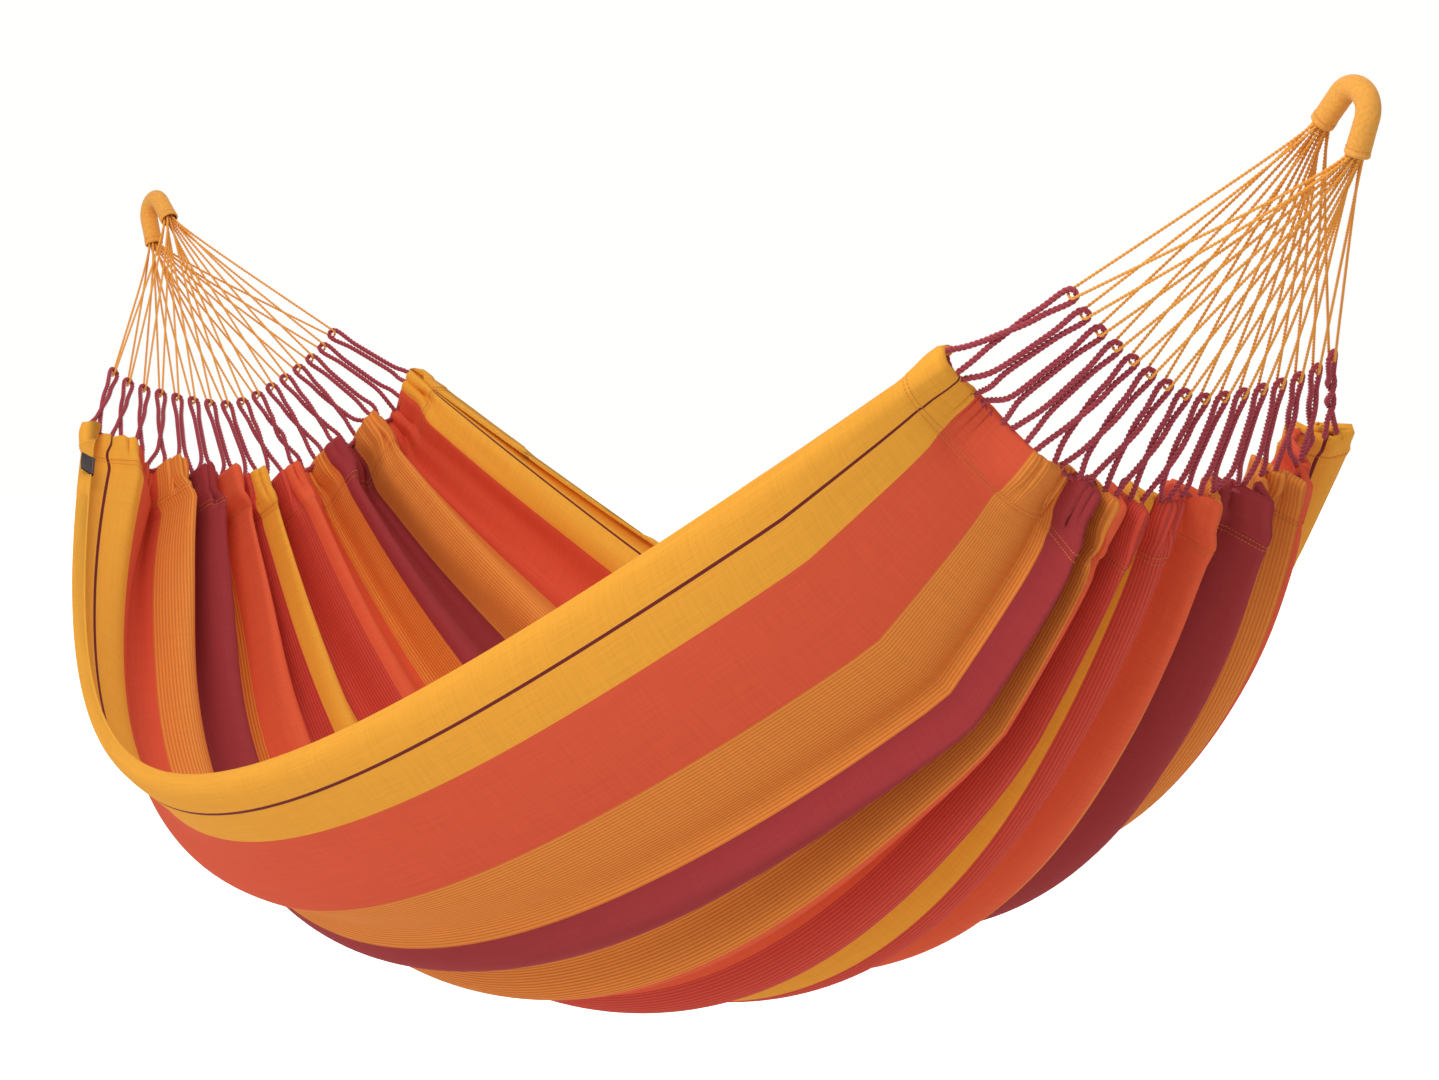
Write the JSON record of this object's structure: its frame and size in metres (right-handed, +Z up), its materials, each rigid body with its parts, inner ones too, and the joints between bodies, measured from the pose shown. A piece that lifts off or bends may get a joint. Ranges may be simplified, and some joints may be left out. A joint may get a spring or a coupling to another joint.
{
  "type": "rope hammock",
  "caption": "Striped woven cotton hammock bed gathered at both ends onto thick cord loops and a fan of thin cords that meet in a sleeved hanging eye.",
  "frame": {"origin": "where the left eye bears on its hook, inside its crown", "axes": "+X along the hang line to the right eye's hook, +Z up, -Y to the near long edge"},
  "size_m": [2.776, 1.3023, 1.097],
  "materials": {
    "striped_cotton": "matt warp-striped plain weave",
    "header_cord": "matt twisted cotton",
    "loop_cord": "matt two-strand twisted cotton",
    "fan_cord": "smooth tight-laid cotton cord",
    "eye_bundle": "bundle of cotton cord",
    "eye_sleeve": "matt woven cotton sleeve",
    "label_tape": "plain woven tape"
  },
  "bodies": {
    "hung_eyes": {"left_eye_core": "eye_bundle", "left_eye_sleeve": "eye_sleeve", "right_eye_core": "eye_bundle", "right_eye_sleeve": "eye_sleeve"},
    "hung_bed": {"bed_cloth": "striped_cotton", "edge_label": "label_tape", "left_header_cord": "header_cord", "left_loop_01": "loop_cord", "left_loop_02": "loop_cord", "left_loop_03": "loop_cord", "left_loop_04": "loop_cord", "left_loop_05": "loop_cord", "left_loop_06": "loop_cord", "left_loop_07": "loop_cord", "left_loop_08": "loop_cord", "left_loop_09": "loop_cord", "left_loop_10": "loop_cord", "left_loop_11": "loop_cord", "left_loop_12": "loop_cord", "left_loop_13": "loop_cord", "left_loop_14": "loop_cord", "left_loop_15": "loop_cord", "left_loop_16": "loop_cord", "left_suspension_cord": "fan_cord", "right_header_cord": "header_cord", "right_loop_01": "loop_cord", "right_loop_02": "loop_cord", "right_loop_03": "loop_cord", "right_loop_04": "loop_cord", "right_loop_05": "loop_cord", "right_loop_06": "loop_cord", "right_loop_07": "loop_cord", "right_loop_08": "loop_cord", "right_loop_09": "loop_cord", "right_loop_10": "loop_cord", "right_loop_11": "loop_cord", "right_loop_12": "loop_cord", "right_loop_13": "loop_cord", "right_loop_14": "loop_cord", "right_loop_15": "loop_cord", "right_loop_16": "loop_cord", "right_suspension_cord": "fan_cord"}
  },
  "joints": [
    {"name": "swing", "type": "hinge", "parent": "hung_eyes", "child": "hung_bed", "pos_m": [0.04562, 0, -0.01973], "axis": [1, 0, 0], "range_deg": [-25, 25]}
  ]
}
